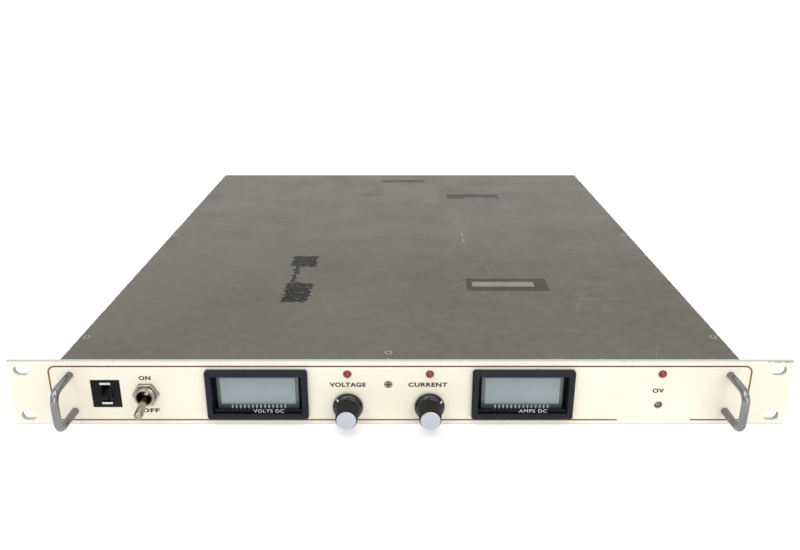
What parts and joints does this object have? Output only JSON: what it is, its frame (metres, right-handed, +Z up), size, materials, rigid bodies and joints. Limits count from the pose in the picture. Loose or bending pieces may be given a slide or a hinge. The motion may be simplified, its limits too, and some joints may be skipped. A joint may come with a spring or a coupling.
{
  "type": "bench power supply",
  "caption": "One-unit rack-mount DC bench power supply with panel meters, skirted control knobs, a power toggle, a breaker and two pull handles.",
  "frame": {"origin": "middle of the footprint's bounding box, on the surface the supply stands on", "axes": "+Z up, the front panel faces -Y, +X to the right of someone facing the front"},
  "size_m": [0.4826, 0.5078, 0.0437],
  "materials": {
    "panel_paint": "cream enamel, satin",
    "cover_paint": "worn olive grey paint, satin",
    "chassis_sheet": "zinc plated sheet, satin",
    "chromed_rod": "polished chrome",
    "plated_screw": "zinc plated",
    "panel_screw_plating": "nickel plated",
    "nickel_brass": "nickel plated, bright",
    "toggle_bat": "bright chrome",
    "breaker_moulding": "black moulded",
    "breaker_grip": "black moulded",
    "switch_moulding": "dark brown moulded",
    "bezel_moulding": "dark grey moulded",
    "lcd_face": "unlit display, green grey",
    "legend_film": "black, white print",
    "lcd_contacts": "tinned",
    "holder_moulding": "black moulded",
    "led_lens": "red tinted lens",
    "knob_moulding": "black moulded",
    "knob_cap_spun": "spun",
    "pot_case": "stamped",
    "pot_spindle": "turned",
    "trimmer_moulding": "blue moulded",
    "trimmer_spindle": "nickel plated",
    "circuit_board": "green solder mask",
    "standoff_metal": "turned",
    "ferrite": "sintered, dark grey",
    "winding_tape": "yellow tape over copper",
    "heatsink_metal": "extruded",
    "transistor_case": "black epoxy",
    "capacitor_sleeve": "dark blue sleeve",
    "filter_can": "tinned can",
    "fan_moulding": "black moulded",
    "terminal_moulding": "black moulded",
    "bus_copper": "bare copper",
    "insulator_laminate": "red brown laminate",
    "stud_brass": "bare brass"
  },
  "bodies": {
    "chassis": {"board_standoffs": "standoff_metal", "breaker_body": "breaker_moulding", "bulk_capacitors": "capacitor_sleeve", "bus_insulator": "insulator_laminate", "chassis_tray": "chassis_sheet", "control_board": "circuit_board", "cover_screws": "plated_screw", "current_meter_bezel": "bezel_moulding", "current_meter_lcd": "lcd_face", "current_meter_legend": "legend_film", "fan_frames": "fan_moulding", "ferrite_cores": "ferrite", "front_panel": "panel_paint", "ground_stud": "stud_brass", "handles": "chromed_rod", "heatsinks": "heatsink_metal", "indicator_leds": "led_lens", "lcd_holders": "holder_moulding", "lcd_pins": "lcd_contacts", "line_filter": "filter_can", "line_terminal_block": "terminal_moulding", "line_terminal_screws": "plated_screw", "main_board": "circuit_board", "meter_boards": "circuit_board", "negative_bus_bar": "bus_copper", "panel_bracket": "chassis_sheet", "panel_screw": "panel_screw_plating", "positive_bus_bar": "bus_copper", "potentiometers": "pot_case", "power_transistors": "transistor_case", "rear_panel": "chassis_sheet", "sense_connector": "terminal_moulding", "toggle_body": "switch_moulding", "toggle_bushing": "nickel_brass", "toggle_nut": "nickel_brass", "top_cover": "cover_paint", "trimmer_body": "trimmer_moulding", "voltage_meter_bezel": "bezel_moulding", "voltage_meter_lcd": "lcd_face", "voltage_meter_legend": "legend_film", "windings": "winding_tape"},
    "voltage_knob": {"voltage_knob": "knob_moulding", "voltage_knob_cap": "knob_cap_spun", "voltage_pot_shaft": "pot_spindle"},
    "current_knob": {"current_knob": "knob_moulding", "current_knob_cap": "knob_cap_spun", "current_pot_shaft": "pot_spindle"},
    "toggle_lever": {"toggle_lever": "toggle_bat"},
    "breaker_handle": {"breaker_handle": "breaker_grip"},
    "trimmer_shaft": {"trimmer_shaft": "trimmer_spindle"},
    "left_fan_rotor": {"left_fan_rotor": "fan_moulding"},
    "right_fan_rotor": {"right_fan_rotor": "fan_moulding"}
  },
  "joints": [
    {"name": "voltage_knob_turn", "type": "hinge", "parent": "chassis", "child": "voltage_knob", "pos_m": [-0.0324, -0.22949, 0.0129], "axis": [0, 1, 0], "range_deg": [-104, 196]},
    {"name": "current_knob_turn", "type": "hinge", "parent": "chassis", "child": "current_knob", "pos_m": [0.0184, -0.22949, 0.0129], "axis": [0, 1, 0], "range_deg": [-206, 94]},
    {"name": "toggle_throw", "type": "hinge", "parent": "chassis", "child": "toggle_lever", "pos_m": [-0.15718, -0.22739, 0.0214], "axis": [-1, 0, 0], "range_deg": [0, 30]},
    {"name": "breaker_throw", "type": "hinge", "parent": "chassis", "child": "breaker_handle", "pos_m": [-0.18218, -0.22469, 0.0215], "axis": [-1, 0, 0], "range_deg": [0, 40]},
    {"name": "overvoltage_adjust", "type": "hinge", "parent": "chassis", "child": "trimmer_shaft", "pos_m": [0.1611, -0.22729, 0.0134], "axis": [0, 1, 0], "range_deg": [-135, 135]},
    {"name": "left_fan_spin", "type": "hinge", "parent": "chassis", "child": "left_fan_rotor", "pos_m": [-0.086, 0.22062, 0.0216], "axis": [0, 1, 0], "continuous": true},
    {"name": "right_fan_spin", "type": "hinge", "parent": "chassis", "child": "right_fan_rotor", "pos_m": [-0.042, 0.22062, 0.0216], "axis": [0, 1, 0], "continuous": true}
  ]
}
